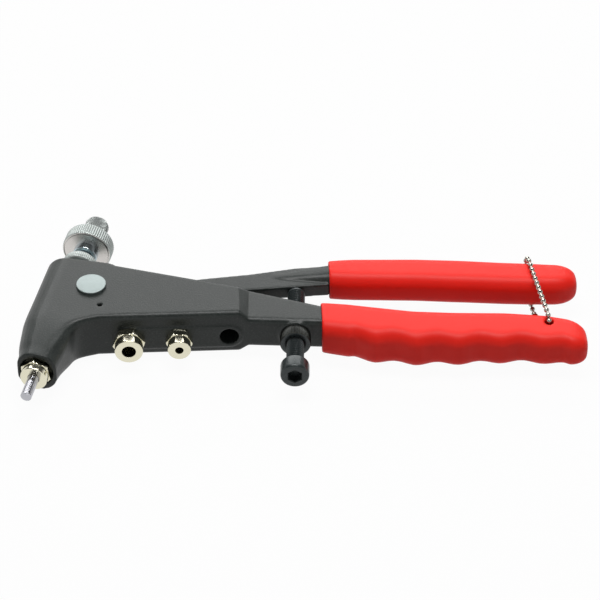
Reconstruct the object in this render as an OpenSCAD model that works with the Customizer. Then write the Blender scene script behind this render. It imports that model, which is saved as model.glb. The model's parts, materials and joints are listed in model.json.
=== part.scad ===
// Hand rivet nut tool lying on its side, handles closed.
// Origin: centre of the nosepiece's working face, on the mandrel axis and the mid-plane.
// X runs along the head's underside towards the grips, Z is across the tool's thickness.

/* [Head casting] */
// Lean of the mandrel axis from the Y axis, degrees
mandrel_lean = 14; // [12:0.5:16]
// Thickness of the head
head_t = 23; // [22:0.5:26]
// Mandrel axis to the front edge of the head
head_front = 13.4; // [12.6:0.1:15]
// Nosepiece face to the top face of the head, along the mandrel
head_top = 72; // [70:0.5:75]
// Rounding of the front edges
front_r = 10.8; // [8:0.2:10.8]
// Rounding of the underside edges
edge_r = 2.5; // [1.5:0.1:3.5]
// Height of the underside above the nosepiece face
underside_y = 27.5; // [26.5:0.1:29]
// Where the thick head ends along X
head_end = 92; // [91:0.5:95]
// Thickness of the lower handle behind the head
handle_t = 16; // [14:0.5:17]

/* [Nose] */
// Seat of the nosepiece in the nose, above its working face
nose_seat = 7.4; // [7:0.1:9]
// End of the nose above the working face
nose_end = 5; // [4:0.1:6]
// Radius of the recess round the nosepiece hexagon
nose_recess_r = 7.6; // [7.5:0.1:8]
// Thickness of the nose at its end
nose_t = 20; // [19:0.2:21]

/* [Pivot] */
// Mandrel axis to the pivot
pivot_offset = 12.6; // [12.5:0.1:13.2]
// Nosepiece face to the pivot, along the mandrel
pivot_height = 54.4; // [53:0.2:56]
// Pivot pin diameter
pin_d = 8; // [6:0.5:8]
// Pivot pin head diameter
pin_head_d = 13.5; // [11:0.5:16]
// Pivot pin head height
pin_head_h = 1.4; // [1:0.1:2.5]
// Thickness of the washer under the pin's peened end
pin_washer_h = 1; // [0.8:0.1:1.6]
// Pivot bush wall
bush_wall = 1; // [0.8:0.1:1.2]

/* [Lever] */
// Thickness of the lever plate
lever_t = 6.6; // [5:0.2:8]
// Radius of the lever's hub at the pivot
hub_r = 6.4; // [6.2:0.1:6.5]
// Pivot to the centre of the toe that drives the draw sleeve
toe_reach = 6.8; // [6.6:0.1:6.9]
// Radius of the toe
toe_r = 2.2; // [1.9:0.1:2.2]
// How far the handles open, degrees
open_angle = 40; // [34:1:42]

/* [Draw gear] */
// Mandrel thread diameter
mandrel_d = 5; // [4:0.5:5]
// Length of mandrel in front of the nosepiece, handles closed
mandrel_out = 12.4; // [10:0.2:16]
// Draw sleeve diameter
sleeve_d = 11.6; // [11.2:0.1:11.8]
// Top of the draw sleeve above the nosepiece face
sleeve_top = 82; // [81:0.5:85]
// Diameter of the sleeve's knurled collar
collar_d = 16.4; // [14:0.2:18]
// Height of that collar
collar_h = 4.6; // [3:0.1:4.8]
// Spindle stem diameter
stem_d = 8; // [7:0.5:8.5]
// Underside of the wheel's hub above the nosepiece face
wheel_bottom = 87.2; // [86:0.2:90]
// Wheel hub diameter
wheel_hub_d = 11.6; // [10.5:0.2:14]
// Wheel hub height under the rim
wheel_hub_h = 5.8; // [3:0.2:7]
// Knurled rim diameter
wheel_d = 23.2; // [20:0.2:26]
// Knurled rim width
wheel_t = 5.2; // [4:0.2:8]
// Thickness of the washer between wheel and knob
wheel_washer_h = 0.6; // [0.4:0.1:1]
// Knob diameter
knob_d = 11.4; // [10.6:0.2:14]
// Knob length
knob_l = 13.4; // [11:0.2:18]

/* [Nosepieces] */
// Thread diameter of every nosepiece shank
shank_d = 8.5; // [8:0.1:9]
// Thread length of every nosepiece shank
shank_l = 10; // [8:0.5:12]
// Height of every nosepiece's hexagon
nose_hex_h = 4; // [3:0.1:5]
// Height of the spare nosepieces over their sockets
spare_reach = 8.6; // [7:0.1:10]
// Place of the first spare nosepiece along X
spare_x = 42.1; // [41:0.1:44]
// Distance between the spare sockets
spare_pitch = 22.65; // [21:0.05:23]
// Offset of the spare sockets from the mid-plane
socket_z = -1.5; // [-2:0.1:0]
// Height of the pad round the spare sockets
pad_rise = 0.8; // [0.4:0.1:1.6]
// Width of that pad
pad_w = 12; // [11:0.2:14]

/* [Stroke adjuster] */
// Adjusting screw thread diameter
screw_d = 8; // [6:0.5:8]
// Adjusting screw length under its head
screw_l = 50; // [46:0.5:54]
// Place of the adjusting screw along X, at the lower handle's underside
screw_x = 117.2; // [113:0.2:119]
// Tilt of the adjusting screw, degrees
screw_tilt = 3; // [1:0.5:5]
// Knurled lock nut diameter
lock_nut_d = 14; // [12:0.5:16]
// Knurled lock nut height
lock_nut_h = 6; // [4:0.5:8]

/* [Grips] */
// Where the lower grip starts along X
lower_grip_x = 129; // [128:0.5:132]
// Length of the lower grip
lower_grip_l = 118.7; // [116:0.1:122]
// Greatest thickness of the lower grip
lower_grip_t = 19.4; // [18.6:0.2:22]
// Finger groove spacing
groove_pitch = 19; // [18:0.1:20]
// Finger groove depth
groove_depth = 2.3; // [1:0.1:3]
// Where the upper grip starts along X
upper_grip_x = 134; // [132:0.5:136]
// Length of the upper grip
upper_grip_l = 113.8; // [112:0.1:117]
// Thickness of the upper grip
upper_grip_t = 15.6; // [15:0.2:17]

/* [Keeper chain] */
// Chain bead diameter
bead_d = 2.4; // [2:0.1:2.6]
// Chain wire diameter
wire_d = 0.9; // [0.6:0.1:1.2]
// Diameter of the eye in the lower grip
eye_d = 4; // [3.6:0.1:4.6]

/* [Hidden] */

// Clearances: running fits, seated fits and parts that pass each other
run = 0.05;
seat = 0.02;
pass = 0.4;
// Steps round each section corner and between smoothed sections
corner_n = 6;
smooth_n = 3;
$fn = 64;

head_h = head_t / 2;
pivot = ax(pivot_height, pivot_offset);
// Draw stroke between closed and open handles, and the toe's height with the handles closed
toe_swing = open_angle / 2;
stroke = 2 * toe_reach * sin(toe_swing);
toe_s = pivot_height + stroke / 2;
// Lever plate edges, seen along Z
arm_angle = 8.1;
lever_back = [[78.5, 63], [98, 65.1], [118, 68.5], [upper_grip_x - run, 69.6]];
lever_front = [[97.5, 53.7], [upper_grip_x - run, 56]];
slot_w = lever_t + 2 * pass;
// Draw sleeve and what turns in it
sleeve_r = sleeve_d / 2;
sleeve_bottom = toe_s - 10;
bore_bottom = sleeve_bottom - stroke - 1.2;
stem_bottom = toe_s + toe_r + 9;
wheel_top = wheel_bottom + wheel_hub_h + wheel_t;
knob_s = wheel_top + wheel_washer_h + 2 * run;
mandrel_top = knob_s + knob_l / 2;
socket_y = underside_y - pad_rise;
socket_depth = shank_l + 2;
// Lower handle edges, and the flat that the lock nut seats on
handle_back = [[head_end + 5, 48], [lower_grip_x, 36.5]];
handle_front = [[head_end + 4, underside_y - 0.8], [lower_grip_x, 24]];
nut_seat_y = line_y(handle_front, screw_x) - 0.6;
screw_reach = (line_y(lever_front, screw_x + 30 * sin(screw_tilt)) - nut_seat_y) / cos(screw_tilt) - 0.35;
screw_head_r = 0.8125 * screw_d;
// Lower grip's eye for the chain
eye = [lower_grip_x + lower_grip_l - 16.7, 20];
eye_tang_gap = 4;

// Point at distance s along the mandrel axis and t across it
function ax(s, t) = [s * sin(mandrel_lean) + t * cos(mandrel_lean),
                     s * cos(mandrel_lean) - t * sin(mandrel_lean)];
function unit(v) = v / norm(v);
function line_y(points, x) = lookup(x, [for (p = points) [p.x, p.y]]);
// Smooth curve through key vectors, n steps between neighbours
function blend(a, b, c, d, u) = (2 * b + (c - a) * u + (2 * a - 5 * b + 4 * c - d) * u ^ 2
                                 + (3 * b - a - 3 * c + d) * u ^ 3) / 2;
function smooth(k, n) = [for (i = [0 : len(k) - 2]) for (j = [0 : n - 1])
    blend(k[max(i - 1, 0)], k[i], k[i + 1], k[min(i + 2, len(k) - 1)], j / n), k[len(k) - 1]];
// One station of a loft: edge points a and b, half thickness, edge rounding at a and at b
function station(a, b, h, ra, rb) = [a.x, a.y, b.x, b.y, h, ra, rb];
// Station that starts on the head's front edge: the rounding is measured square to that edge
function front_station(s, b) = let (a = ax(s, -head_front), d = unit(b - a))
    station(a, b, head_h, front_r / (d * ax(0, 1)), edge_r);
// Ring of points of a rounded section between two edge points
function ring(k) = let (a = [k[0], k[1]], d = unit([k[2], k[3]] - a), l = norm([k[2], k[3]] - a), h = k[4],
                        ra = k[5], rb = k[6], va = min(ra, h, front_r), vb = min(rb, h))
    [for (c = [[ra, va - h, ra, va, 180], [l - rb, vb - h, rb, vb, 270],
               [l - rb, h - vb, rb, vb, 0], [ra, h - va, ra, va, 90]])
        for (i = [0 : corner_n]) let (q = c[4] + 90 * i / corner_n, u = c[0] + c[2] * cos(q))
            [a.x + d.x * u, a.y + d.y * u, c[1] + c[3] * sin(q)]];
function flat(rings) = [for (r = rings) each r];
function sides(first, m, n) = [for (i = [0 : m - 2]) for (j = [0 : n - 1]) let (k = (j + 1) % n)
    [first + i * n + j, first + i * n + k, first + (i + 1) * n + k, first + (i + 1) * n + j]];
function turned(faces) = [for (f = faces) [for (i = [len(f) - 1 : -1 : 0]) f[i]]];
function cap(first, n) = [for (j = [0 : n - 1]) first + j];

// Solid through stations, from the first to the last
module loft(stations) {
    rings = [for (k = stations) ring(k)];
    n = len(rings[0]);
    m = len(rings);
    polyhedron(flat(rings), concat(sides(0, m, n), turned([cap(0, n)]), [cap((m - 1) * n, n)]));
}

// Blind sleeve: outer stations closed at the far end, inner stations open at the mouth
module sleeve(outer, inner) {
    out = [for (k = outer) ring(k)];
    in = [for (k = inner) ring(k)];
    n = len(out[0]);
    first = len(out) * n;
    mouth = [for (j = [0 : n - 1]) let (k = (j + 1) % n) [j, first + j, first + k, k]];
    polyhedron(concat(flat(out), flat(in)),
               concat(sides(0, len(out), n), [cap(first - n, n)], turned(sides(first, len(in), n)), mouth,
                      turned([cap(first + (len(in) - 1) * n, n)])));
}

// Places children with local Z along the mandrel and local X across it
module on_mandrel(s = 0) {
    rotate([0, 0, -mandrel_lean]) rotate([-90, 0, 0]) translate([0, 0, s]) children();
}
// Places children with local Z out of a spare socket, from its mouth
module at_socket(i) {
    translate([spare_x + i * spare_pitch, socket_y, socket_z]) rotate([90, 0, 0]) children();
}
// Places children with local Z along the adjusting screw towards its head, from the lock nut's seat
module on_screw(w = 0) {
    translate([screw_x, nut_seat_y, 0]) rotate([0, 0, -screw_tilt]) rotate([90, 0, 0])
        translate([0, 0, w]) children();
}
module at_pivot(z) { translate([pivot.x, pivot.y, z]) children(); }
module tube(r, inner, h) {
    difference() {
        cylinder(r = r, h = h);
        translate([0, 0, -1]) cylinder(r = inner, h = h + 2);
    }
}
// Disc with both rims chamfered
module rimmed(r, h, c) {
    rotate_extrude() polygon([[0, 0], [r - c, 0], [r, c], [r, h - c], [r - c, h], [0, h]]);
}

// Frame casting: nose, head and lower handle as one lofted body, from the nose's end to the tang
nose_h = nose_t / 2;
nose_keys = [
    station(ax(nose_end, -8.8), ax(nose_end, 9), nose_h, 7.5, 7.5),
    station(ax(10, -9.3), ax(9.5, 9.4), nose_h + 0.2, 8, 7.5),
    station(ax(15, -10.8), ax(14, 10), nose_h + 0.6, 9, 7),
    station(ax(24, -12.4), ax(20.5, 11.1), head_h - 0.3, 10.4, 5.5),
    station(ax(33, -head_front), [18.2, underside_y - 4.9], head_h, front_r, edge_r + 1.6),
    front_station(48, [21.8, underside_y - 1.9]),
    front_station(62, [28.8, underside_y])];
top_over = head_top + 20;
back_r = 1.2;
body_keys = [
    front_station(top_over, [37, underside_y]),
    station(ax(top_over, 8), [45, underside_y], head_h, back_r, edge_r),
    station(ax(head_top - 0.6, 16.6), [51, underside_y], head_h, back_r, edge_r),
    station([head_end, 46.8], [head_end, underside_y], head_h, back_r, edge_r),
    station(handle_back[0], handle_front[0], handle_t / 2, back_r, edge_r),
    station(handle_back[1], handle_front[1], handle_t / 2, back_r + 0.8, edge_r)];
// Middle lines of the grips, over the share of each grip's length
lower_mid = [[0, 29.6], [0.1, 26.9], [0.2, 24], [0.35, 20.9], [0.5, 19.8], [0.7, 19.3], [0.85, 17.4], [1, 13]];
upper_mid = [[0, 63.2], [0.1, 62.8], [0.35, 61.4], [0.55, 59.3], [0.7, 57.4], [0.9, 55.5], [1, 55.2]];
tang_gap = 0.15;
tang_end = (eye.x - eye_d / 2 - eye_tang_gap - lower_grip_x) / lower_grip_l;
function lower_tang(u, grow) = let (x = lower_grip_x + lower_grip_l * u, y = lookup(u, lower_mid),
                                    w = 5.6 - 0.6 * u + grow)
    station([x, y + w], [x, y - w], handle_t / 2 - 1.6 - 0.4 * u + grow, 2.5 + grow, 2.5 + grow);
lower_tang_steps = [0.06, 0.2, 0.35, 0.5, 0.65, tang_end];

module socket_pad() {
    root = edge_r + 1.5;
    for (i = [0, 2]) at_socket(i) translate([0, 0, -root]) cylinder(d = pad_w, h = root);
    translate([spare_x, socket_y, socket_z - pad_w / 2]) cube([2 * spare_pitch, root, pad_w]);
}

// Opening that the lever works in: a round pocket at the pivot and the arm's sweep above it
module lever_slot() {
    low = pivot - [0, hub_r + 2 * pass];
    far = 120;
    translate([0, 0, -slot_w / 2]) linear_extrude(slot_w) {
        translate(pivot) circle(r = toe_reach + toe_r + pass);
        polygon([low, low + far * [cos(arm_angle), sin(arm_angle)], low + [far, far],
                 ax(top_over, pivot_offset + 8), ax(pivot_height, pivot_offset - hub_r - pass)]);
    }
}

module frame_casting() color([0.13, 0.14, 0.14]) difference() {
    union() {
        loft(concat(smooth(nose_keys, smooth_n), body_keys, [for (u = lower_tang_steps) lower_tang(u, 0)]));
        socket_pad();
        on_screw(-6) cylinder(d = lock_nut_d + 1, h = 6);
    }
    on_mandrel(head_top) translate([-60, -60, 0]) cube([120, 120, 60]);
    on_mandrel(bore_bottom) cylinder(r = sleeve_r + run, h = 100);
    on_mandrel() cylinder(d = mandrel_d + 2, h = bore_bottom + 1);
    on_mandrel(nose_seat) cylinder(d = shank_d + 2 * seat, h = shank_l + 2);
    on_mandrel(-20) cylinder(r = nose_recess_r, h = 20 + nose_seat);
    lever_slot();
    at_pivot(-head_t) cylinder(d = pin_d + 2 * seat, h = 2 * head_t);
    for (i = [0 : 2]) at_socket(i) translate([0, 0, -socket_depth])
        cylinder(d = shank_d + 2 * seat, h = socket_depth + 5);
    on_screw(-40) cylinder(d = screw_d + 2 * run, h = 60);
    translate([pivot.x + 4, pivot.y - 13.4, head_h - 3]) cylinder(d = 2.2, h = 10);
}

// Nosepiece: hexagon on its seat and round body with the working face, local Z away from the seat
module nosepiece_form(af, face_d, hole_d, reach) {
    rim = 0.4;
    difference() {
        union() {
            intersection() {
                cylinder(d = af / cos(30), h = nose_hex_h, $fn = 6);
                rimmed(af / 2 + 0.85, nose_hex_h, 0.6);
            }
            rotate_extrude() polygon([[0, 1], [face_d / 2, 1], [face_d / 2, reach - rim], [face_d / 2 - rim, reach],
                                      [0, reach]]);
            translate([0, 0, -shank_l]) cylinder(d = shank_d, h = shank_l + 1);
        }
        translate([0, 0, -shank_l - 1]) cylinder(d = hole_d, h = shank_l + reach + 2);
    }
}
module nosepiece() color([0.78, 0.75, 0.65]) on_mandrel(nose_seat) mirror([0, 0, 1]) rotate(21)
    nosepiece_form(12.5, 12.2, mandrel_d + 0.2, nose_seat);
module spare_nosepiece_large() color([0.78, 0.75, 0.65]) at_socket(0) rotate(7)
    nosepiece_form(13, 12.7, 6.3, spare_reach);
module spare_nosepiece_small() color([0.78, 0.75, 0.65]) at_socket(1) rotate(-4)
    nosepiece_form(10.7, 10.4, 3.7, spare_reach);

// Pivot pin: flat head on the near face, peened over a washer on the far face
peen_h = 0.9;
module pivot_pin() color([0.75, 0.77, 0.78]) {
    at_pivot(-head_h - pin_washer_h) cylinder(d = pin_d, h = head_t + pin_washer_h + pin_head_h / 2);
    at_pivot(head_h) rimmed(pin_head_d / 2, pin_head_h, 0.35);
    at_pivot(-head_h - pin_washer_h - peen_h) rimmed(pin_d / 2 + 1.2, peen_h, 0.4);
}
module pivot_washer() color([0.75, 0.77, 0.78]) at_pivot(-head_h - pin_washer_h)
    tube(pin_head_d / 2, pin_d / 2 + seat, pin_washer_h);

// Grip ends: share of the full section left at distance d from the end, rounded over length r
function end_share(d, r, least) = least + (1 - least) * (d >= r ? 1 : sqrt(1 - ((r - d) / r) ^ 2));
// Lower grip: the finger grooves are a cosine along the front edge
first_bump = 23;
function bump(d) = let (x = d - first_bump)
    x < -groove_pitch / 2 || x > 4.5 * groove_pitch ? 0.5 : (1 + cos(360 * x / groove_pitch)) / 2;
lower_back = [[0, 10.2], [0.1, 11], [0.2, 11.2], [0.5, 10.6], [0.8, 9.9], [1, 9.2]];
lower_front = [[0, 11.6], [0.2, 12.6], [0.5, 11.9], [0.8, 11.2], [1, 10.6]];
lower_thick = [[0, 0.93], [0.02, 0.96], [0.2, 1], [0.5, 0.93], [0.8, 0.87], [1, 0.83]];
function lower_outer(u) = let (x = lower_grip_x + lower_grip_l * u, y = lookup(u, lower_mid),
                               e = end_share(lower_grip_l * (1 - u), 9, 0.4), b = lookup(u, lower_back) * e,
                               f = (lookup(u, lower_front) - groove_depth * (1 - bump(lower_grip_l * u))) * e,
                               h = lower_grip_t / 2 * lookup(u, lower_thick) * e)
    station([x, y + b], [x, y - f], h, 0.62 * h, 0.66 * h);
lower_steps = concat([for (i = [0 : 37]) i / 40.5], [0.935, 0.955, 0.97, 0.985, 0.995, 1]);
module lower_grip() color([0.85, 0.08, 0.07]) difference() {
    sleeve([for (u = lower_steps) lower_outer(u)],
           concat([station(handle_back[1] + [0, tang_gap], handle_front[1] - [0, tang_gap], handle_t / 2 + tang_gap,
                           back_r + 0.8 + tang_gap, edge_r + tang_gap)],
                  [for (u = lower_tang_steps) lower_tang(u, tang_gap)]));
    translate([eye.x, eye.y, -lower_grip_t]) cylinder(d = eye_d, h = 2 * lower_grip_t);
}

// Lever: flat plate in the head that swells into a round tang for the upper grip
function upper_tang(u, grow) = let (x = upper_grip_x + upper_grip_l * u, y = lookup(u, upper_mid),
                                    w = 6.4 - u + grow)
    station([x, y + w], [x, y - w], 6 - u + grow, 5 - u + grow, 5 - u + grow);
upper_tang_steps = [0, 0.1, 0.35, 0.55, 0.7, 0.9];
module lever_plate() {
    toe_angle = 180 - mandrel_lean - toe_swing;
    translate([0, 0, -lever_t / 2]) linear_extrude(lever_t) {
        translate(pivot) circle(r = hub_r);
        translate(pivot) rotate(toe_angle) {
            translate([toe_reach, 0]) circle(r = toe_r);
            translate([0, -toe_r]) square([toe_reach, 2 * toe_r]);
        }
        polygon(concat([pivot + hub_r * [sin(arm_angle), -cos(arm_angle)]], lever_front,
                       [for (i = [len(lever_back) - 1 : -1 : 0]) lever_back[i]],
                       [pivot + hub_r * [-sin(arm_angle), cos(arm_angle)]]));
    }
}
module lever_casting() color([0.13, 0.14, 0.14]) difference() {
    union() {
        lever_plate();
        loft(concat([station([104, 66], [104, 60], lever_t / 2 - 0.4, 2, 2)],
                    [for (u = upper_tang_steps) upper_tang(u, 0)]));
    }
    at_pivot(-20) cylinder(d = pin_d + 2 * (run + bush_wall + seat), h = 40);
}
module pivot_bush() color([0.72, 0.55, 0.3]) at_pivot(-lever_t / 2)
    tube(pin_d / 2 + run + bush_wall, pin_d / 2 + run, lever_t);

upper_half = [[0, 8], [0.08, 9], [0.5, 9.5], [0.8, 9.2], [1, 8.4]];
function upper_outer(u) = let (x = upper_grip_x + upper_grip_l * u, y = lookup(u, upper_mid),
                               e = end_share(upper_grip_l * (1 - u), 10, 0.35), w = lookup(u, upper_half) * e,
                               h = upper_grip_t / 2 * e)
    station([x, y + w], [x, y - w], h, 0.75 * h, 0.75 * h);
upper_steps = concat([for (i = [0 : 18]) i / 20], [0.92, 0.945, 0.965, 0.98, 0.993, 1]);
module upper_grip() color([0.85, 0.08, 0.07])
    sleeve([for (u = upper_steps) upper_outer(u)], [for (u = upper_tang_steps) upper_tang(u, tang_gap)]);

// Draw sleeve: the lever's toe works in its side notch, the stem turns in its upper end under a knurled collar
module draw_sleeve() color([0.7, 0.74, 0.76]) on_mandrel() difference() {
    union() {
        translate([0, 0, sleeve_bottom]) rimmed(sleeve_r, sleeve_top - sleeve_bottom - 1, 0.4);
        translate([0, 0, sleeve_top - collar_h]) rimmed(collar_d / 2, collar_h, 0.5);
    }
    translate([0, 0, sleeve_bottom - 1]) cylinder(d = mandrel_d + 2 * run, h = 60);
    translate([0, 0, stem_bottom]) cylinder(r = stem_d / 2 + run, h = 60);
    translate([pivot_offset - toe_reach - toe_r - 0.2, -10, toe_s - toe_r - 0.15]) cube([20, 20, 2 * toe_r + 0.3]);
}
module spindle_stem() color([0.75, 0.77, 0.78]) on_mandrel(stem_bottom + run)
    tube(stem_d / 2, mandrel_d / 2 + seat, knob_s - stem_bottom - run);
// Mandrel: exposed thread, relief behind the working face and a plain shank up into the knob
relief = 0.35;
module mandrel() color([0.75, 0.76, 0.8]) on_mandrel() rotate_extrude()
    polygon([[0, -mandrel_out], [mandrel_d / 2 - 0.7, -mandrel_out], [mandrel_d / 2, -mandrel_out + 0.7],
             [mandrel_d / 2, 0], [mandrel_d / 2 - relief, relief], [mandrel_d / 2 - relief, relief + 1.5],
             [mandrel_d / 2, 2 * relief + 1.5], [mandrel_d / 2, mandrel_top], [0, mandrel_top]]);
module knob() color([0.55, 0.56, 0.55]) on_mandrel(knob_s) difference() {
    rimmed(knob_d / 2, knob_l, 0.8);
    translate([0, 0, -1]) cylinder(d = mandrel_d + 2 * seat, h = mandrel_top - knob_s + 1 + seat);
}
module hand_wheel() color([0.8, 0.81, 0.79]) on_mandrel(wheel_bottom) difference() {
    union() {
        rimmed(wheel_hub_d / 2, wheel_hub_h + 1, 0.4);
        translate([0, 0, wheel_hub_h]) rimmed(wheel_d / 2, wheel_t, 0.6);
    }
    translate([0, 0, -1]) cylinder(r = stem_d / 2 + run, h = 40);
}
module wheel_washer() color([0.7, 0.7, 0.7]) on_mandrel(wheel_top + run)
    tube(knob_d / 2 - 0.5, stem_d / 2 + run, wheel_washer_h);

// Stroke adjuster: socket head screw against the lever, held by a knurled nut
module adjusting_screw() color([0.16, 0.18, 0.18]) on_screw(-screw_reach) difference() {
    union() {
        rotate_extrude() polygon([[0, 0], [screw_d / 2 - 1.4, 0], [screw_d / 2, 1.4], [screw_d / 2, screw_l + 1],
                                  [0, screw_l + 1]]);
        translate([0, 0, screw_l]) rimmed(screw_head_r, screw_d, 0.6);
    }
    translate([0, 0, screw_l + screw_d / 2]) cylinder(d = 0.75 * screw_d / cos(30), h = screw_d, $fn = 6);
}
module lock_nut() color([0.3, 0.3, 0.27]) on_screw(run) difference() {
    rimmed(lock_nut_d / 2, lock_nut_h, 0.6);
    translate([0, 0, -1]) cylinder(d = screw_d + 2 * run, h = lock_nut_h + 2);
}

// Keeper chain: bead loop through the lower grip's eye and round the upper grip, ends in the clasp
chain_keys = [[38.8, -9.9], [30, -10], [22.6, -9.9], [20.2, -8.6], [20, 0], [20.2, 8.6], [22.6, 9.9], [30, 10],
              [40, 9.8], [54, 9.4], [62, 9.2], [66.4, 6.6], [67.3, 0], [66.4, -6.6], [62, -9.2], [54, -9.4],
              [43.2, -9.8]];
function chain_point(k) = [eye.x - 0.115 * (k[0] - eye.y), k[0], k[1]];
chain_line = [for (k = smooth(chain_keys, 10)) chain_point(k)];
chain_run = [for (i = 0, d = 0; i < len(chain_line);
    d = d + (i < len(chain_line) - 1 ? norm(chain_line[i + 1] - chain_line[i]) : 0), i = i + 1) d];
function at_run(d) = [for (c = [0 : 2]) lookup(d, [for (i = [0 : len(chain_run) - 1]) [chain_run[i], chain_line[i][c]]])];
chain_l = chain_run[len(chain_run) - 1];
bead_n = round(chain_l / (bead_d + 0.9));
bead_pitch = chain_l / bead_n;
module along(a, b) {
    d = b - a;
    translate(a) rotate([0, acos(d.z / norm(d)), atan2(d.y, d.x)]) children();
}
module keeper_chain() color([0.8, 0.8, 0.78]) for (i = [0 : bead_n]) {
    here = at_run(i * bead_pitch);
    next = at_run((i + 1) * bead_pitch);
    translate(here) sphere(d = bead_d, $fn = 32);
    if (i < bead_n) along(here, next) cylinder(d = wire_d, h = norm(next - here), $fn = 24);
}
clasp_over = 1.6;
module chain_clasp() color([0.8, 0.8, 0.78]) {
    first = at_run(0);
    last = at_run(chain_l);
    way = unit(last - first);
    along(first - clasp_over * way, last) tube(bead_d / 2 + 0.55, bead_d / 2 + run, norm(last - first) + 2 * clasp_over);
}

frame_casting();
lower_grip();
nosepiece();
spare_nosepiece_large();
spare_nosepiece_small();
pivot_pin();
pivot_washer();
lever_casting();
pivot_bush();
upper_grip();
draw_sleeve();
spindle_stem();
mandrel();
knob();
hand_wheel();
wheel_washer();
adjusting_screw();
lock_nut();
keeper_chain();
chain_clasp();
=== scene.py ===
"""Look of the hand rivet nut tool: finer pieces, finishes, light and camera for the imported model."""

import json
import math

import bmesh
import bpy
import numpy as np
from mathutils import Matrix, Vector

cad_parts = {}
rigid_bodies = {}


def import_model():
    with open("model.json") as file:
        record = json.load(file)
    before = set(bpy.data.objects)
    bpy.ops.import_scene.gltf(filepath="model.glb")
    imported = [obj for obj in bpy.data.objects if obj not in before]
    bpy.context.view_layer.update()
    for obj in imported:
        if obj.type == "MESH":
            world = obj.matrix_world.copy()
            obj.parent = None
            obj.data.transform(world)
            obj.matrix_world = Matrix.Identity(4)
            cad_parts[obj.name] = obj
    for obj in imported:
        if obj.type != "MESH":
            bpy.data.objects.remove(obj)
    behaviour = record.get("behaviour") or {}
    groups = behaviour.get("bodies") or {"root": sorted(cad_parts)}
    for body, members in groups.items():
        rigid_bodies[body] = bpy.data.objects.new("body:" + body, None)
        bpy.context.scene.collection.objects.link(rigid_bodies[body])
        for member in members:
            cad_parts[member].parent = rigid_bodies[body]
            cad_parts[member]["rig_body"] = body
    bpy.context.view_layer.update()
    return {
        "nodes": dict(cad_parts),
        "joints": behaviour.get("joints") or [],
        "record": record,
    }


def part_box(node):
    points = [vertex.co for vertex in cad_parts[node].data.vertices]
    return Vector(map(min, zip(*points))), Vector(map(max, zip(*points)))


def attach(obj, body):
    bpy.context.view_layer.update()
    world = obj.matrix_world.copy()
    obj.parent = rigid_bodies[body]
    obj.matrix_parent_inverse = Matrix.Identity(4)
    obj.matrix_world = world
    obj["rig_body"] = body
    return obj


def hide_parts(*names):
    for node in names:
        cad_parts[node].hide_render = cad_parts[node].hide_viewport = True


bl_info = {
    "name": "Hand Rivet Nut Tool",
    "version": (1, 0, 0),
    "blender": (4, 5, 0),
    "location": "3D View > Sidebar > Rivet Nut Tool",
    "description": "Builds the finer pieces, finishes and studio of a hand rivet nut tool",
    "category": "Object",
}

TAU = 2 * math.pi
MM = 0.001
WHITE = (1.0, 1.0, 1.0, 1.0)

# Depth at which a cut of a knurl or thread gets its full painted shade.
FULL_SHADE_DEPTH = 0.35 * MM
# Least cosine between the axis and the normal of a face that counts as an end face.
END_FACING = 0.85
# Points per ridge round a straight knurl.
RIDGE_POINTS = 6
# Colours of the grain's peaks, and of the painted shade in a knurl's cuts.
SPECKLE_COLOUR = (0.16, 0.165, 0.16)
GROOVE_SHADE_COLOUR = (0.05, 0.055, 0.055)

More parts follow.
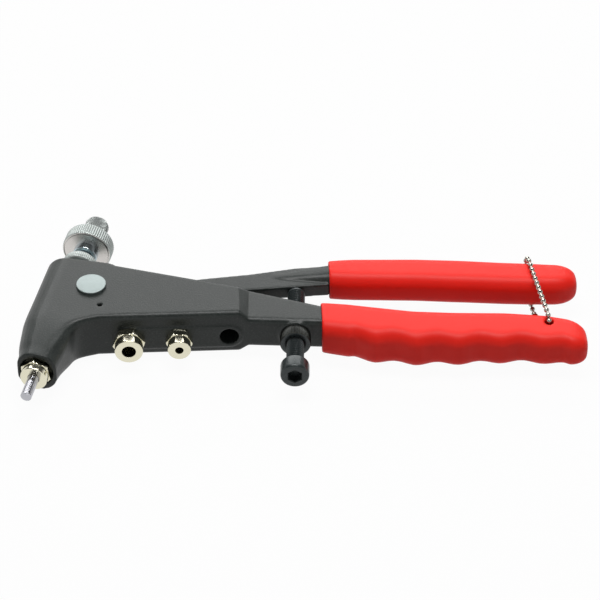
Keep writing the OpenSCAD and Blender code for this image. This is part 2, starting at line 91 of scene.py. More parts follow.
# Each finish wanders between dark and light, and between the two roughnesses.
# groove is the share of painted shade in the cuts of a knurl or thread.
FINISHES = {
    "Cast Coat": {
        "dark": (0.0135, 0.0168, 0.0155), "light": (0.02, 0.0245, 0.0225), "rough": (0.33, 0.46),
        "grain_scale": 1300.0, "grain_depth": 0.0002, "blotch": 45.0, "specular": 0.29, "speckle": 0.11},
    "Red Vinyl": {
        "dark": (0.66, 0.012, 0.006), "light": (0.74, 0.017, 0.009), "grain": 0.1,
        "grain_scale": 700.0, "grain_depth": 0.00005, "blotch": 35.0, "specular": 0.2},
    "Warm Nickel": {
        "dark": (0.7, 0.67, 0.52), "light": (0.76, 0.73, 0.58), "rough": (0.13, 0.19),
        "metal": 1.0, "blotch": 140.0},
    "Bead Nickel": {
        "dark": (0.36, 0.35, 0.31), "light": (0.43, 0.42, 0.37), "rough": (0.06, 0.1),
        "metal": 1.0, "blotch": 140.0},
    "Bright Zinc": {
        "dark": (0.4, 0.435, 0.42), "light": (0.47, 0.505, 0.49), "rough": (0.42, 0.5),
        "metal": 1.0, "blotch": 120.0, "groove": 0.7},
    "Pin Zinc": {
        "dark": (0.235, 0.27, 0.265), "light": (0.27, 0.31, 0.305), "rough": (0.44, 0.52),
        "metal": 1.0, "blotch": 160.0},
    # Flange Zinc and Hub Zinc are lighter warm and bluish tints of the same zinc plating: painted
    # reflections of the surroundings. Their lower roughness is the smoother turned faces.
    "Flange Zinc": {
        "dark": (0.6, 0.575, 0.55), "light": (0.66, 0.635, 0.61), "rough": (0.26, 0.33),
        "metal": 1.0, "blotch": 140.0},
    "Hub Zinc": {
        "dark": (0.5, 0.58, 0.62), "light": (0.56, 0.64, 0.68), "rough": (0.14, 0.2),
        "metal": 1.0, "blotch": 160.0},
    "Dark Zinc": {
        "dark": (0.3, 0.32, 0.31), "light": (0.36, 0.38, 0.37), "rough": (0.34, 0.44),
        "metal": 1.0, "blotch": 160.0, "groove": 0.8},
    "Turned Steel": {
        "dark": (0.43, 0.43, 0.46), "light": (0.48, 0.48, 0.51), "rough": (0.07, 0.1),
        "metal": 1.0, "blotch": 150.0},
    "Black Oxide": {
        "dark": (0.022, 0.028, 0.029), "light": (0.034, 0.042, 0.043), "rough": (0.26, 0.34),
        "metal": 0.3, "blotch": 120.0},
    "Dark Knurl": {
        "dark": (0.014, 0.014, 0.011), "light": (0.029, 0.028, 0.022), "rough": (0.34, 0.44),
        "metal": 0.9, "blotch": 300.0, "groove": 0.8},
    "Bronze": {
        "dark": (0.5, 0.33, 0.14), "light": (0.62, 0.43, 0.2), "rough": (0.3, 0.45), "metal": 1.0},
}

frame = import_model()


class CastingSettings(bpy.types.PropertyGroup):
    """Coated castings: frame and lever."""

    voxel: bpy.props.FloatProperty(
        name="Cast cell", description="Size of the cells that round the frame casting's edges",
        default=0.00054, min=0.0003, max=0.002, precision=5, unit="LENGTH")
    rounds: bpy.props.IntProperty(
        name="Rounding passes", description="How often the frame's edges are softened",
        default=2, min=0, max=30)
    lever_voxel: bpy.props.FloatProperty(
        name="Lever cell", description="Size of the cells that round the lever's edges",
        default=0.0005, min=0.0003, max=0.002, precision=5, unit="LENGTH")
    lever_rounds: bpy.props.IntProperty(
        name="Lever passes", description="How often the lever's edges are softened",
        default=5, min=0, max=30)
    grain: bpy.props.FloatProperty(
        name="Grain", description="Strength of the cast grain under the coat",
        default=0.35, min=0.0, max=1.0, subtype="FACTOR")


class GripSettings(bpy.types.PropertyGroup):
    """Moulded grips."""

    voxel: bpy.props.FloatProperty(
        name="Grip cell", description="Size of the cells that round the grips",
        default=0.00055, min=0.0003, max=0.002, precision=5, unit="LENGTH")
    rounds: bpy.props.IntProperty(
        name="Rounding passes", description="How often the moulded edges are softened",
        default=12, min=0, max=60)
    roughness: bpy.props.FloatProperty(
        name="Roughness", description="Surface roughness of the vinyl",
        default=0.46, min=0.0, max=1.0, subtype="FACTOR")


class TurnedSettings(bpy.types.PropertyGroup):
    """Turned and knurled pieces."""

    wheel_teeth: bpy.props.IntProperty(
        name="Wheel ridges", description="Straight knurl ridges round the hand wheel",
        default=66, min=12, max=200)
    sleeve_teeth: bpy.props.IntProperty(
        name="Sleeve ridges", description="Straight knurl ridges round the draw sleeve",
        default=56, min=12, max=120)
    knob_teeth: bpy.props.IntProperty(
        name="Knob diamonds", description="Diamonds round the end knob", default=36, min=8, max=90)
    nut_teeth: bpy.props.IntProperty(
        name="Lock nut ridges", description="Straight knurl ridges round the lock nut",
        default=60, min=12, max=120)
    knurl_depth: bpy.props.FloatProperty(
        name="Knurl depth", description="Depth of the knurl grooves",
        default=0.0003, min=0.0, max=0.001, precision=5, unit="LENGTH")
    screw_pitch: bpy.props.FloatProperty(
        name="Screw pitch", description="Thread pitch of the adjusting screw",
        default=0.00125, min=0.0005, max=0.002, precision=5, unit="LENGTH")
    mandrel_pitch: bpy.props.FloatProperty(
        name="Mandrel pitch", description="Thread pitch of the mandrel",
        default=0.0008, min=0.0004, max=0.002, precision=5, unit="LENGTH")


class StudioSettings(bpy.types.PropertyGroup):
    """Floor, light and camera."""

    lens: bpy.props.FloatProperty(
        name="Lens", description="Focal length on a 36 mm sensor", default=168.0, min=20.0, max=400.0)
    target: bpy.props.FloatVectorProperty(
        name="Aim", description="Point in the middle of the picture",
        default=(0.12026, 0.04942, 0.0), size=3, subtype="XYZ", unit="LENGTH")
    place: bpy.props.FloatVectorProperty(
        name="Camera", description="Place of the camera",
        default=(0.0791, -0.9313, 0.8237), size=3, subtype="XYZ", unit="LENGTH")
    roll: bpy.props.FloatVectorProperty(
        name="Up", description="Direction that is up in the picture",
        default=(0.0269, 0.6422, 0.766), size=3, subtype="DIRECTION")
    key_power: bpy.props.FloatProperty(
        name="Key light", description="Power of the light overhead",
        default=12.5, min=0.0, max=200.0, unit="POWER")
    back_power: bpy.props.FloatProperty(
        name="Back light", description="Power of the light behind",
        default=14.0, min=0.0, max=200.0, unit="POWER")
    fill_power: bpy.props.FloatProperty(
        name="Fill light", description="Power of the light in front",
        default=0.5, min=0.0, max=200.0, unit="POWER")
    room: bpy.props.FloatProperty(
        name="Room", description="Strength of the even light from all round",
        default=0.2, min=0.0, max=5.0)
    ceiling: bpy.props.FloatProperty(
        name="Ceiling", description="Brightness of the ceiling that bright metal mirrors",
        default=0.08, min=0.0, max=1.0, subtype="FACTOR")


def grid_faces(rows, cols, close_rows):
    """Quad corner indices of a grid whose columns wrap round; its rows wrap too where close_rows is set."""
    last = rows if close_rows else rows - 1
    i, j = np.meshgrid(np.arange(last), np.arange(cols), indexing="ij")
    here = i * cols
    below = (i + 1) % rows * cols
    right = (j + 1) % cols
    return np.stack([here + j, here + right, below + right, below + j], axis=-1).reshape(-1, 4)


def mesh_object(name, points, quads, sharp=35.0, groove=None):
    """Object from points and quads: joins doubled points, turns faces outward, shades smooth with sharp
    edges. groove holds how deep each point lies in a knurl or thread, from 0 to 1, for the painted
    shade in the cuts."""
    mesh = bpy.data.meshes.new(name)
    mesh.vertices.add(len(points))
    mesh.vertices.foreach_set("co", np.asarray(points, dtype=np.float32).ravel())
    mesh.loops.add(quads.size)
    mesh.loops.foreach_set("vertex_index", quads.astype(np.int32).ravel())
    mesh.polygons.add(len(quads))
    mesh.polygons.foreach_set("loop_start", np.arange(0, quads.size, 4, dtype=np.int32))
    mesh.update(calc_edges=True)
    # Painted shade: each point's depth in a knurl or thread cut, which the finish turns into shade.
    if groove is not None:
        depths = mesh.attributes.new("groove", "FLOAT", "POINT")
        depths.data.foreach_set("value", groove.astype(np.float32).ravel())
    shape = bmesh.new()
    shape.from_mesh(mesh)
    bmesh.ops.remove_doubles(shape, verts=shape.verts, dist=1e-7)
    bmesh.ops.dissolve_degenerate(shape, edges=shape.edges, dist=1e-8)
    bmesh.ops.recalc_face_normals(shape, faces=shape.faces)
    shape.to_mesh(mesh)
    shape.free()
    mesh.shade_smooth()
    mesh.set_sharp_from_angle(angle=math.radians(sharp))
    piece = bpy.data.objects.new(name, mesh)
    bpy.context.scene.collection.objects.link(piece)
    return piece


def softened(corners, steps=4):
    """Profile with rounded corners: each corner (s, r, f) becomes a curve that starts and ends f from it."""
    out = []
    count = len(corners)
    for k in range(count):
        here = np.array(corners[k][:2], dtype=float)
        reach = corners[k][2]
        if reach <= 0:
            out.append(here)
            continue
        before = np.array(corners[k - 1][:2], dtype=float)
        after = np.array(corners[(k + 1) % count][:2], dtype=float)
        start = here + (before - here) * min(0.5, reach / max(np.linalg.norm(before - here), 1e-9))
        end = here + (after - here) * min(0.5, reach / max(np.linalg.norm(after - here), 1e-9))
        for t in np.linspace(0, 1, steps + 1):
            out.append((1 - t) ** 2 * start + 2 * t * (1 - t) * here + t * t * end)
    return np.array(out)


def axes_of(axis):
    """Unit vectors (across, side, along) of a turned piece whose axis lies in the tool's mid-plane."""
    along = np.array(axis, dtype=float)
    along = along / np.linalg.norm(along)
    across = np.cross(along, [0, 0, 1])
    across = across / np.linalg.norm(across)
    return across, np.cross(along, across), along


def turned(name, rows, origin, axis, count, close=True, sharp=35.0, cut=False):
    """Surface of revolution: at height s along the axis and angle a the point is origin + s * axis
    + r(s, a) * (cos a * across + sin a * side). rows is a list of (s, r), where r is one radius or one
    per angle. With cut set, each point keeps how far it lies under its row's crest, which the finish
    paints as shade in the cuts."""
    across, side, along = axes_of(axis)
    angle = np.arange(count) * TAU / count
    height = np.array([np.broadcast_to(s, count) for s, r in rows])
    radius = np.array([np.broadcast_to(r, count) for s, r in rows])
    ring = np.cos(angle)[:, None] * across + np.sin(angle)[:, None] * side
    points = np.asarray(origin) + height[..., None] * along + radius[..., None] * ring
    groove = None
    # Painted shade in the cuts: how far each point lies under its row's crest, full at the set depth.
    if cut:
        groove = np.clip((radius.max(axis=1, keepdims=True) - radius) / FULL_SHADE_DEPTH, 0, 1)
    return mesh_object(name, points.reshape(-1, 3), grid_faces(len(rows), count, close), sharp, groove)


def hexagon(count, flats, turn=0.0):
    """Radius of a hexagon of that width across flats at count angles round it."""
    angle = np.arange(count) * TAU / count + turn
    return flats / 2 / np.cos((angle + TAU / 12) % (TAU / 6) - TAU / 12)


def ridges(count, teeth, phase=0.0):
    """Height from 0 to 1 of a knurl round count angles: a flattened triangle wave with that many teeth."""
    turn = np.arange(count) / count * teeth + phase
    return np.clip(1.3 - 2.6 * np.abs(turn % 1.0 - 0.5) * 1.3, 0.0, 1.0)


def thread_rows(start, end, crest, depth, pitch, count, per_pitch=8, flat=0.1):
    """Rows of a screw thread: the radius falls from crest by depth as a triangle wave of
    s / pitch - a / turn, and runs out at both ends. flat is the share of the wave that stays at the
    crest."""
    steps = max(4, int(round((end - start) / pitch * per_pitch)))
    turn = np.arange(count) / count
    rows = []
    for s in np.linspace(start, end, steps):
        wave = 2 * np.abs(((s / pitch - turn) % 1.0) - 0.5)
        fade = min(1.0, (s - start) / pitch, (end - s) / pitch)
        rows.append((s, crest - depth * fade * np.clip((wave - flat) / (0.9 - flat), 0, 1)))
    return rows


def noise_of(nodes, links, coordinates, scale, detail):
    """Socket of a noise texture on object coordinates."""
    noise = nodes.new("ShaderNodeTexNoise")
    noise.inputs["Scale"].default_value = scale
    noise.inputs["Detail"].default_value = detail
    links.new(coordinates.outputs["Object"], noise.inputs["Vector"])
    return noise.outputs["Fac"]


def mapped(nodes, links, value, source, target):
    """Socket whose value goes through the target range as the given one goes through the source range."""
    span = nodes.new("ShaderNodeMapRange")
    span.inputs["From Min"].default_value = source[0]
    span.inputs["From Max"].default_value = source[1]
    span.inputs["To Min"].default_value = target[0]
    span.inputs["To Max"].default_value = target[1]
    links.new(value, span.inputs["Value"])
    return span.outputs["Result"]


def scaled(nodes, links, value, factor):
    """Socket of a value times a number."""
    product = nodes.new("ShaderNodeMath")
    product.operation = "MULTIPLY"
    product.inputs[1].default_value = factor
    links.new(value, product.inputs[0])
    return product.outputs["Value"]


def blended(nodes, links, factor, colour, other):
    """Socket that goes from one colour's socket to another fixed colour as the factor goes from 0 to 1."""
    mix = nodes.new("ShaderNodeMix")
    mix.data_type = "RGBA"
    mix.inputs["B"].default_value = (*other, 1.0)
    links.new(factor, mix.inputs["Factor"])
    links.new(colour, mix.inputs["A"])
    return mix.outputs["Result"]


def finish(name, dark, light, rough, metal=0.0, grain=0.0, grain_scale=900.0, grain_depth=0.00003,
           blotch=60.0, specular=0.5, speckle=0.0, groove=0.0):
    """Material that wanders between two colours and two roughnesses, with a fine bump; speckle lightens
    the grain's peaks and groove paints shade into the cuts of a knurl or thread, by how deep they lie."""
    material = bpy.data.materials.new(name)
    material.use_nodes = True
    nodes = material.node_tree.nodes
    links = material.node_tree.links
    shader = nodes["Principled BSDF"]
    shader.inputs["Metallic"].default_value = metal
    shader.inputs["Specular IOR Level"].default_value = specular
    coordinates = nodes.new("ShaderNodeTexCoord")
    broad = noise_of(nodes, links, coordinates, blotch, 4.0)
    fine = noise_of(nodes, links, coordinates, grain_scale, 3.0)
    base = nodes.new("ShaderNodeRGB")
    base.outputs["Color"].default_value = (*dark, 1.0)
    colour = blended(nodes, links, broad, base.outputs["Color"], light)
    if speckle > 0:
        peaks = mapped(nodes, links, fine, (0.5, 0.72), (0.0, speckle))
        colour = blended(nodes, links, peaks, colour, SPECKLE_COLOUR)
    # Painted shade: the cuts of a knurl or thread go toward the shade colour by their depth.
    if groove > 0:
        cuts = nodes.new("ShaderNodeAttribute")
        cuts.attribute_name = "groove"
        share = scaled(nodes, links, cuts.outputs["Fac"], groove)
        colour = blended(nodes, links, share, colour, GROOVE_SHADE_COLOUR)
    links.new(colour, shader.inputs["Base Color"])
    links.new(mapped(nodes, links, fine, (0.3, 0.7), rough), shader.inputs["Roughness"])
    if grain > 0:
        bump = nodes.new("ShaderNodeBump")
        bump.inputs["Strength"].default_value = grain
        bump.inputs["Distance"].default_value = grain_depth
        links.new(fine, bump.inputs["Height"])
        links.new(bump.outputs["Normal"], shader.inputs["Normal"])
    return material


def seen_rays(nodes, links):
    """Socket that is 1 for rays from the camera, in a mirror or through glass, and 0 for all others."""
    path = nodes.new("ShaderNodeLightPath")
    seen = path.outputs["Is Camera Ray"]
    for kind in ("Is Glossy Ray", "Is Transmission Ray"):
        either = nodes.new("ShaderNodeMath")
        either.operation = "MAXIMUM"
        links.new(seen, either.inputs[0])
        links.new(path.outputs[kind], either.inputs[1])
        seen = either.outputs["Value"]
    return seen


def mixed_surface(nodes, links, factor, first, second, output):
    """Joins two shader sockets by a factor into the tree's surface."""
    mix = nodes.new("ShaderNodeMixShader")
    links.new(factor, mix.inputs["Fac"])
    links.new(first, mix.inputs[1])
    links.new(second, mix.inputs[2])
    links.new(mix.outputs["Shader"], nodes[output].inputs["Surface"])


def material_of(name):
    """The finish of that name, made on first use."""
    found = bpy.data.materials.get(name)
    if found:
        return found
    values = dict(FINISHES[name])
    if name == "Cast Coat":
        values["grain"] = bpy.context.scene.rivet_tool_casting.grain
    if name == "Red Vinyl":
        roughness = bpy.context.scene.rivet_tool_grip.roughness
        values["rough"] = (roughness - 0.03, roughness + 0.05)
    return finish(name, **values)


def dress(piece, material, slot, *nodes):
    """Gives a piece its finish, and ties it to the CAD nodes it stands for and their body."""
    piece.data.materials.clear()
    piece.data.materials.append(material_of(material))
    if nodes:
        body = frame["nodes"][nodes[0]]["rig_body"]
        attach(piece, body)
        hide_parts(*nodes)


def paint_ends(piece, axis, material, hub=0.0, hub_material=None):
    """Gives the faces that look along the axis through the origin a finish of their own, and those
    nearer to it than hub another."""
    along = axes_of(axis)[2]
    polygons = piece.data.polygons
    normals = np.empty(len(polygons) * 3, dtype=np.float32)
    polygons.foreach_get("normal", normals)
    part = (np.abs(normals.reshape(-1, 3) @ along) > END_FACING).astype(np.int32)
    piece.data.materials.append(material_of(material))
    if hub_material:
        piece.data.materials.append(material_of(hub_material))
        centres = np.empty(len(polygons) * 3, dtype=np.float32)
        polygons.foreach_get("center", centres)
        centres = centres.reshape(-1, 3)
        part[np.linalg.norm(centres - (centres @ along)[:, None] * along, axis=1) < hub] = 2
    polygons.foreach_set("material_index", part)


def welded(name):
    """The CAD node of that name, with a modifier that joins its doubled points."""
    piece = frame["nodes"][name]
    weld = piece.modifiers.new("Weld", "WELD")
    weld.merge_threshold = 1e-6
    return piece


def round_node(name, material, slot, voxel, rounds):
    """Rounds a CAD node's edges by even cells and smoothing, and gives it its finish."""
    piece = welded(name)
    cells = piece.modifiers.new("Cells", "REMESH")
    cells.mode = "VOXEL"
    cells.voxel_size = voxel
    cells.use_smooth_shade = True
    if rounds:
        soft = piece.modifiers.new("Rounding", "SMOOTH")
        soft.factor = 0.5
        soft.iterations = rounds
    dress(piece, material, slot)


def smooth_node(name, material, slot, angle=30.0):
    """Smooths the shading of a CAD node up to that edge angle, and gives it its finish."""
    piece = welded(name)
    piece.data.shade_smooth()
    split = piece.modifiers.new("Edges", "EDGE_SPLIT")
    split.split_angle = math.radians(angle)
    dress(piece, material, slot)


def joint(name):
    """The record's joint of that name."""
    return next(j for j in frame["joints"] if j["name"] == name)


def along_axis(node, axis, origin):
    """Lowest and highest place of a CAD node's points along an axis through origin."""
    mesh = frame["nodes"][node].data
    points = np.empty(len(mesh.vertices) * 3, dtype=np.float32)
    mesh.vertices.foreach_get("co", points)
    reach = (points.reshape(-1, 3) - np.asarray(origin)) @ axes_of(axis)[2]
    return float(reach.min()), float(reach.max())


def nosepiece(name, node, origin, axis, flats, face, hole, corner):
    """Nosepiece round its axis from its seat: threaded shank, hexagon with chamfered corners, round body
    and bore. flats, face and hole are widths; corner is the angle of one of the hexagon's corners."""
    low, high = along_axis(node, axis, origin)
    count = 120
    shank = 4.25 * MM
    thread_depth = 0.45 * MM
    pitch = 1.25 * MM
    six = hexagon(count, flats, math.radians(30.0 - corner))
    limit = flats / 2 + 0.85 * MM
    rows = thread_rows(low, 0.0, shank, thread_depth, pitch, count, 6)
    for s, trim in ((0.0, 0.75), (0.2, 0.35), (0.55, 0.0), (3.45, 0.0), (3.8, 0.35), (4.0, 0.8)):
        rows.append((s * MM, np.minimum(six, limit - trim * MM)))
    rows.append((4.0 * MM, face / 2 + 0.05 * MM))
    rows.extend(softened([
        (4.2 * MM, face / 2, 0.0), (high, face / 2, 0.5 * MM), (high, hole / 2, 0.3 * MM),
        (low, hole / 2, 0.0)]))
    piece = turned(name, rows, origin, axis, count)
    dress(piece, "Warm Nickel", "nickel", node)


class RIVET_TOOL_OT_castings(bpy.types.Operator):
    """Round and coat the frame and lever castings"""

    bl_idname = "rivet_tool.castings"
    bl_label = "Castings"

    def execute(self, context):
        settings = context.scene.rivet_tool_casting
        round_node("frame_casting", "Cast Coat", "casting", settings.voxel, settings.rounds)
        round_node("lever_casting", "Cast Coat", "casting", settings.lever_voxel, settings.lever_rounds)
        return {"FINISHED"}


class RIVET_TOOL_OT_grips(bpy.types.Operator):
    """Round and colour the two moulded grips"""

    bl_idname = "rivet_tool.grips"
    bl_label = "Grips"

    def execute(self, context):
        settings = context.scene.rivet_tool_grip
        for name in ("lower_grip", "upper_grip"):
            round_node(name, "Red Vinyl", "grip", settings.voxel, settings.rounds)
        return {"FINISHED"}


class RIVET_TOOL_OT_nosepieces(bpy.types.Operator):
    """Turn the fitted nosepiece and the two spare ones"""

    bl_idname = "rivet_tool.nosepieces"
    bl_label = "Nosepieces"

    def execute(self, context):
        axis = np.array(joint("draw_slide")["axis"])
        seat = axis * 7.4 * MM
        nosepiece("Fitted_Nosepiece", "nosepiece", seat, -axis, 12.5 * MM, 12.2 * MM, 5.2 * MM, 39.0)
        mount = next(m for m in frame["record"]["mounts"] if m["name"] == "spare_socket")
        mouth = np.array(mount["pos_m"]) - np.array((0.0, 6.0 * MM, 0.0))
        down = np.array(mount["axis"])
        spacing = np.array((22.65 * MM, 0.0, 0.0))
        nosepiece("Spare_Nosepiece_Large", "spare_nosepiece_large", mouth - 2 * spacing, down,
                  13 * MM, 12.7 * MM, 6.3 * MM, 7.0)
        nosepiece("Spare_Nosepiece_Small", "spare_nosepiece_small", mouth - spacing, down,
                  10.7 * MM, 10.4 * MM, 3.7 * MM, -4.0)
        return {"FINISHED"}


class RIVET_TOOL_OT_pivot(bpy.types.Operator):
    """Round the pivot pin and finish its washer and bush"""

    bl_idname = "rivet_tool.pivot"
    bl_label = "Pivot"

    def execute(self, context):
        self.pin()
        smooth_node("pivot_washer", "Bright Zinc", "zinc")
        smooth_node("pivot_bush", "Bronze", "bronze")
        return {"FINISHED"}

    def pin(self):
        """Flat head, shank and peened end round the lever's hinge."""
        centre = np.array(joint("lever_hinge")["pos_m"])
        low, high = (c.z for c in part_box("pivot_pin"))
        count = 96
        head = 6.75 * MM
        shank = 4 * MM
        peened = 5.2 * MM
        neck = high - 1.4 * MM
        peen = low + 0.9 * MM
        profile = softened([
            (low, 0.0, 0.0), (low, peened, 0.45 * MM), (peen, peened, 0.2 * MM), (peen, shank, 0.0),
            (neck, shank, 0.0), (neck, head, 0.12 * MM), (high, head, 0.35 * MM), (high, 0.0, 0.0)])
        angle = np.arange(count) * TAU / count
        ring = np.stack([np.cos(angle), np.sin(angle), np.zeros(count)], axis=-1)
        points = centre * (1, 1, 0) + profile[:, 1][:, None, None] * ring
        points = points + profile[:, 0][:, None, None] * np.array((0, 0, 1))
        piece = mesh_object("Pivot_Pin", points.reshape(-1, 3), grid_faces(len(profile), count, False))
        dress(piece, "Pin Zinc", "zinc", "pivot_pin")


class RIVET_TOOL_OT_draw_gear(bpy.types.Operator):
    """Turn the sleeve, mandrel, hand wheel and end knob with their knurls and thread"""

    bl_idname = "rivet_tool.draw_gear"
    bl_label = "Draw Gear"

    def execute(self, context):
        settings = context.scene.rivet_tool_turned
        axis = np.array(joint("draw_slide")["axis"])
        origin = np.zeros(3)
        self.wheel(settings, origin, axis)
        self.knob(settings, origin, axis)
        self.mandrel(settings, origin, axis)
        self.collar(settings, origin, axis)
        smooth_node("draw_sleeve", "Bright Zinc", "zinc")
        # Painted reflection: the stem's bluish zinc tint stands for the surroundings it mirrors.
        smooth_node("spindle_stem", "Hub Zinc", "steel")
        smooth_node("wheel_washer", "Turned Steel", "steel")
        return {"FINISHED"}

    def collar(self, settings, origin, axis):
        """Thin knurled band round the sleeve's collar, with straight ridges."""
        high = along_axis("draw_sleeve", axis, origin)[1]
        low = high - 4.6 * MM
        count = settings.sleeve_teeth * RIDGE_POINTS
        inner = 7.9 * MM
        base = 8.22 * MM
        crest = base + 0.26 * MM * ridges(count, settings.sleeve_teeth)
        edge = 0.5 * MM
        run = 0.8 * MM
        rows = [(low + edge, inner), (low + edge, base), (low + run, crest),
                (high - run, crest), (high - edge, base), (high - edge, inner)]
        piece = turned("Knurled_Collar", rows, origin, axis, count, sharp=50.0, cut=True)
        dress(piece, "Bright Zinc", "zinc")
        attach(piece, "draw")

    def wheel(self, settings, origin, axis):
        """Hub and rim round a bore; the rim's outside falls by the knurl depth between its ridges.
        Rows of the rim give the distance from its end, the step in from its outside and the share of
        the knurl."""
        low, high = along_axis("hand_wheel", axis, origin)
        count = settings.wheel_teeth * RIDGE_POINTS
        cut = settings.knurl_depth * (1 - ridges(count, settings.wheel_teeth))
        rim = low + 3.8 * MM
        outer = 11.6 * MM
        hub = 5.8 * MM
        bore = 4.05 * MM
        rows = list(softened([(low, bore, 0.0), (low, hub, 0.5 * MM), (rim, hub, 0.3 * MM)]))
        for s, r in ((0.0, 1.15), (0.5, 1.1), (0.5, 0.8)):
            rows.append((rim + s * MM, outer - r * MM))
        for s, r, share in ((0.0, 0.72, 0.0), (0.12, 0.4, 0.0), (0.45, 0.12, 0.4), (0.85, 0.0, 1.0),
                            (1.5, 0.0, 1.0)):
            rows.append((rim + s * MM, outer - r * MM - share * cut))
        for s, r, share in ((1.5, 0.0, 1.0), (0.75, 0.0, 1.0), (0.4, 0.12, 0.5), (0.12, 0.4, 0.0),
                            (0.0, 0.8, 0.0)):
            rows.append((high - s * MM, outer - r * MM - share * cut))
        rows.append((high, bore + 1.2 * MM))
        rows.append((high, bore))
        piece = turned("Knurled_Wheel", rows, origin, axis, count, sharp=50.0, cut=True)
        dress(piece, "Bright Zinc", "zinc", "hand_wheel")
        # Painted reflection: the wheel's end faces take a lighter, warmer zinc and its hub faces a bluish
        # zinc, tints of the surroundings they mirror on one plated part. Their lower roughness is the real
        # turned finish.
        paint_ends(piece, axis, "Flange Zinc", 6 * MM, "Hub Zinc")

    def knob(self, settings, origin, axis):
        """Closed cylinder whose side falls by the knurl depth along two crossing sets of helical grooves."""
        low, high = along_axis("knob", axis, origin)
        teeth = settings.knob_teeth
        per_tooth = 8
        count = teeth * per_tooth
        depth = settings.knurl_depth * 1.1
        outer = 5.7 * MM
        bore = 2.55 * MM
        roof = low + 6.9 * MM
        crown = 1.2 * MM
        lead = TAU * outer / teeth
        rows = [(low, bore), (low, outer - 0.7 * MM), (low + 0.15 * MM, outer - 0.3 * MM)]
        for s in np.arange(low + 0.5 * MM, high - 1.3 * MM, lead / per_tooth):
            diamonds = np.minimum(ridges(count, teeth, s / lead), ridges(count, teeth, -s / lead))
            rows.append((s, outer - depth * (1 - diamonds)))
        for turn in np.linspace(0.0, 0.5 * math.pi, 7):
            drop = crown * (1 - math.sin(turn))
            rows.append((high - drop, outer - depth - crown * (1 - math.cos(turn))))
        rows.extend([(high, 0.0), (roof, 0.0), (roof, bore)])
        piece = turned("Knurled_Knob", rows, origin, axis, count, sharp=60.0, cut=True)
        dress(piece, "Dark Zinc", "zinc", "knob")

    def mandrel(self, settings, origin, axis):
        """Rod with a shallow helical thread on its exposed end, a relief groove and a chamfered tip."""
        low, high = along_axis("mandrel", axis, origin)
        count = 64
        rod = 2.5 * MM
        relief = 2.15 * MM
        thread_depth = 0.14 * MM
        rows = [(low, 0.0), (low, 1.6 * MM), (low + 0.1 * MM, 1.8 * MM)]
        rows.extend(thread_rows(low + 0.5 * MM, 1.0 * MM, rod, thread_depth, settings.mandrel_pitch, count,
                                per_pitch=12, flat=0.6))
        rows.extend([(1.2 * MM, relief), (1.8 * MM, relief), (2.2 * MM, rod), (high, rod), (high, 0.0)])
        piece = turned("Threaded_Mandrel", rows, origin, axis, count, close=False)
        dress(piece, "Turned Steel", "steel", "mandrel")


class RIVET_TOOL_OT_adjuster(bpy.types.Operator):
    """Turn the stroke screw with its thread and socket, and its knurled lock nut"""

    bl_idname = "rivet_tool.adjuster"
    bl_label = "Stroke Adjuster"

    def execute(self, context):
        settings = context.scene.rivet_tool_turned
        spin = joint("lock_nut_spin")
        axis = np.array(spin["axis"])
        origin = np.array(spin["pos_m"])
        self.screw(settings, origin, axis)
        self.nut(settings, origin, axis)
        return {"FINISHED"}

    def screw(self, settings, origin, axis):
        """Threaded shank and cylinder head; inside the head the radius is that of a hexagon down to the
        socket's floor."""
        low, high = along_axis("adjusting_screw", axis, origin)
        count = 96
        seat = high - 8 * MM
        shank = 4 * MM
        thread_depth = 0.6 * MM
        head = 6.5 * MM
        six = hexagon(count, 6 * MM)
        chamfer = 0.35 * MM
        floor = high - 4 * MM
        rows = [(low, 0.0), (low, 2.6 * MM)]
        rows.extend(thread_rows(low + 1.2 * MM, seat - 0.8 * MM, shank, thread_depth, settings.screw_pitch,
                                count))
        rows.extend(softened([
            (seat - 0.6 * MM, shank, 0.3 * MM), (seat, 5.4 * MM, 0.4 * MM),
            (seat + 0.6 * MM, head, 0.8 * MM), (high, head, 1.5 * MM), (high, 4.4 * MM, 0.0)])[1:])
        rows.extend([(high, six + chamfer), (high - chamfer, six), (floor, six), (floor, 0.0)])
        piece = turned("Socket_Screw", rows, origin, axis, count, close=False)
        dress(piece, "Black Oxide", "black_oxide", "adjusting_screw")

    def nut(self, settings, origin, axis):
        """Ring round the screw; its outside falls by the knurl depth between straight ridges."""
        low, high = along_axis("lock_nut", axis, origin)
        count = settings.nut_teeth * RIDGE_POINTS
        cut = settings.knurl_depth * 1.1 * (1 - ridges(count, settings.nut_teeth))
        outer = 7 * MM
        bore = 4.05 * MM
        face = outer - 0.8 * MM
        chamfer = 0.5 * MM
        rows = [(low, bore), (low, face)]
        for s, r, share in ((0.15, 0.35, 0.2), (0.6, 0.0, 1.0), (3.0, 0.0, 1.0)):
            rows.append((low + s * MM, outer - r * MM - share * cut))
        for s, r, share in ((0.6, 0.0, 1.0), (0.15, 0.35, 0.2)):
            rows.append((high - s * MM, outer - r * MM - share * cut))
        rows.extend([(high, face), (high, bore + chamfer), (high - chamfer, bore)])
        piece = turned("Knurled_Nut", rows, origin, axis, count, sharp=50.0, cut=True)
        dress(piece, "Dark Knurl", "lock_nut", "lock_nut")
        paint_ends(piece, axis, "Black Oxide")


class RIVET_TOOL_OT_chain(bpy.types.Operator):
    """Smooth and plate the keeper chain and its clasp"""

    bl_idname = "rivet_tool.chain"
    bl_label = "Keeper Chain"

    def execute(self, context):
        smooth_node("keeper_chain", "Bead Nickel", "nickel", 45.0)
        smooth_node("chain_clasp", "Warm Nickel", "nickel")
        return {"FINISHED"}


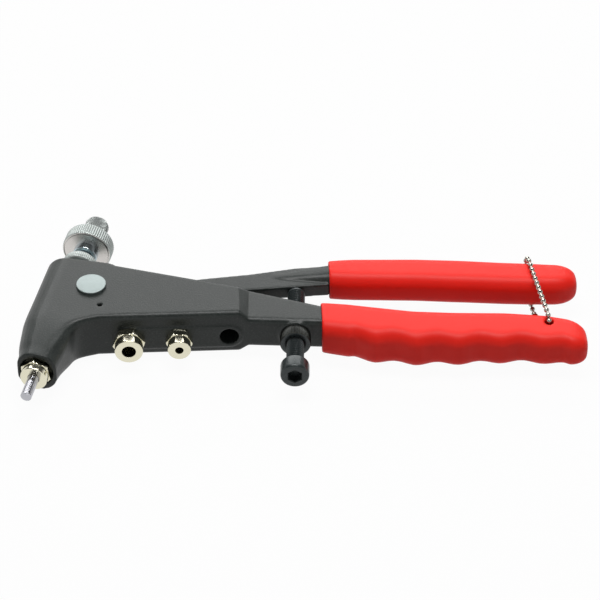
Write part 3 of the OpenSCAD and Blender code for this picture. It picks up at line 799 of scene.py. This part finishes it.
class RIVET_TOOL_OT_studio(bpy.types.Operator):
    """Set up the floor, the soft lights, the white room and the camera"""

    bl_idname = "rivet_tool.studio"
    bl_label = "Studio"

    def execute(self, context):
        settings = context.scene.rivet_tool_studio
        self.floor(settings)
        self.lights(settings)
        self.room(settings)
        self.camera(settings)
        context.scene.view_settings.view_transform = "Standard"
        return {"FINISHED"}

    def floor(self, settings):
        """Flat pale square under the object, white to the camera apart from a faint shadow."""
        low = min(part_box(name)[0].z for name in frame["nodes"])
        half = 3.0
        white_share = 0.96
        x, y = settings.target[:2]
        points = [(x + u, y + v, low) for u in (-half, half) for v in (-half, half)]
        piece = mesh_object("Floor", points, np.array([[0, 2, 3, 1]]))
        material = bpy.data.materials.new("Studio Floor")
        material.use_nodes = True
        nodes = material.node_tree.nodes
        links = material.node_tree.links
        shader = nodes["Principled BSDF"]
        shader.inputs["Base Color"].default_value = (0.5, 0.5, 0.5, 1.0)
        shader.inputs["Roughness"].default_value = 0.9
        shader.inputs["Specular IOR Level"].default_value = 0.0
        glow = nodes.new("ShaderNodeEmission")
        glow.inputs["Strength"].default_value = 1.0
        share = scaled(nodes, links, seen_rays(nodes, links), white_share)
        mixed_surface(nodes, links, share, shader.outputs["BSDF"], glow.outputs["Emission"],
                      "Material Output")
        piece.data.materials.append(material)

    def lights(self, settings):
        """Three soft area lights: overhead, behind, and in front."""
        aim = Vector(settings.target)
        for name, place, size, power in (
                ("Key", (0.12, 0.1, 1.1), (0.9, 0.28), settings.key_power),
                ("Back", (0.12, 1.2, 0.75), (1.6, 0.7), settings.back_power),
                ("Fill", (0.1, -1.1, 0.35), (1.1, 0.5), settings.fill_power)):
            light = bpy.data.lights.new(name, "AREA")
            light.shape = "RECTANGLE"
            light.size, light.size_y = size
            light.energy = power
            lamp = bpy.data.objects.new(name, light)
            lamp.location = place
            lamp.rotation_euler = (aim - Vector(place)).to_track_quat("-Z", "Y").to_euler()
            bpy.context.scene.collection.objects.link(lamp)

    def room(self, settings):
        """White walls and a darker ceiling to the camera and in mirrors, an even soft light for the rest."""
        world = bpy.data.worlds.new("Studio Room")
        bpy.context.scene.world = world
        world.use_nodes = True
        nodes = world.node_tree.nodes
        links = world.node_tree.links
        even = nodes["Background"]
        even.inputs["Color"].default_value = WHITE
        even.inputs["Strength"].default_value = settings.room
        white = nodes.new("ShaderNodeBackground")
        white.inputs["Color"].default_value = WHITE
        way = nodes.new("ShaderNodeTexCoord")
        split = nodes.new("ShaderNodeSeparateXYZ")
        links.new(way.outputs["Generated"], split.inputs["Vector"])
        fall = mapped(nodes, links, split.outputs["Z"], (0.16, 0.45), (1.0, settings.ceiling))
        links.new(fall, white.inputs["Strength"])
        mixed_surface(nodes, links, seen_rays(nodes, links), even.outputs["Background"],
                      white.outputs["Background"], "World Output")

    def camera(self, settings):
        """Camera at its place, looking at the aim, turned so that the given direction is up."""
        back = (Vector(settings.place) - Vector(settings.target)).normalized()
        right = Vector(settings.roll).cross(back).normalized()
        up = back.cross(right)
        data = bpy.data.cameras.new("Camera")
        data.lens = settings.lens
        data.sensor_width = 36.0
        data.clip_end = 20.0
        eye = bpy.data.objects.new("Camera", data)
        turn = Matrix((right, up, back)).transposed().to_4x4()
        eye.matrix_world = Matrix.Translation(Vector(settings.place)) @ turn
        bpy.context.scene.collection.objects.link(eye)
        bpy.context.scene.camera = eye


class RIVET_TOOL_PT_panel(bpy.types.Panel):
    """Sidebar panel with the build steps and their settings"""

    bl_label = "Rivet Nut Tool"
    bl_idname = "RIVET_TOOL_PT_panel"
    bl_space_type = "VIEW_3D"
    bl_region_type = "UI"
    bl_category = "Rivet Nut Tool"

    def draw(self, context):
        scene = context.scene
        for group, steps in (
                (scene.rivet_tool_casting, ("castings",)),
                (scene.rivet_tool_grip, ("grips",)),
                (scene.rivet_tool_turned, ("nosepieces", "pivot", "draw_gear", "adjuster", "chain")),
                (scene.rivet_tool_studio, ("studio",))):
            box = self.layout.box()
            for key in group.bl_rna.properties.keys():
                if key not in ("rna_type", "name"):
                    box.prop(group, key)
            for step in steps:
                box.operator("rivet_tool." + step)


CLASSES = (
    CastingSettings,
    GripSettings,
    TurnedSettings,
    StudioSettings,
    RIVET_TOOL_OT_castings,
    RIVET_TOOL_OT_grips,
    RIVET_TOOL_OT_nosepieces,
    RIVET_TOOL_OT_pivot,
    RIVET_TOOL_OT_draw_gear,
    RIVET_TOOL_OT_adjuster,
    RIVET_TOOL_OT_chain,
    RIVET_TOOL_OT_studio,
    RIVET_TOOL_PT_panel,
)


def register():
    """Registers the classes and their settings."""
    for item in CLASSES:
        bpy.utils.register_class(item)
    bpy.types.Scene.rivet_tool_casting = bpy.props.PointerProperty(type=CastingSettings)
    bpy.types.Scene.rivet_tool_grip = bpy.props.PointerProperty(type=GripSettings)
    bpy.types.Scene.rivet_tool_turned = bpy.props.PointerProperty(type=TurnedSettings)
    bpy.types.Scene.rivet_tool_studio = bpy.props.PointerProperty(type=StudioSettings)


def unregister():
    """Removes the settings and the classes."""
    del bpy.types.Scene.rivet_tool_studio
    del bpy.types.Scene.rivet_tool_turned
    del bpy.types.Scene.rivet_tool_grip
    del bpy.types.Scene.rivet_tool_casting
    for item in reversed(CLASSES):
        bpy.utils.unregister_class(item)


def main():
    """Builds every piece and the studio."""
    register()
    bpy.ops.rivet_tool.castings()
    bpy.ops.rivet_tool.grips()
    bpy.ops.rivet_tool.nosepieces()
    bpy.ops.rivet_tool.pivot()
    bpy.ops.rivet_tool.draw_gear()
    bpy.ops.rivet_tool.adjuster()
    bpy.ops.rivet_tool.chain()
    bpy.ops.rivet_tool.studio()


if __name__ == "__main__":
    main()
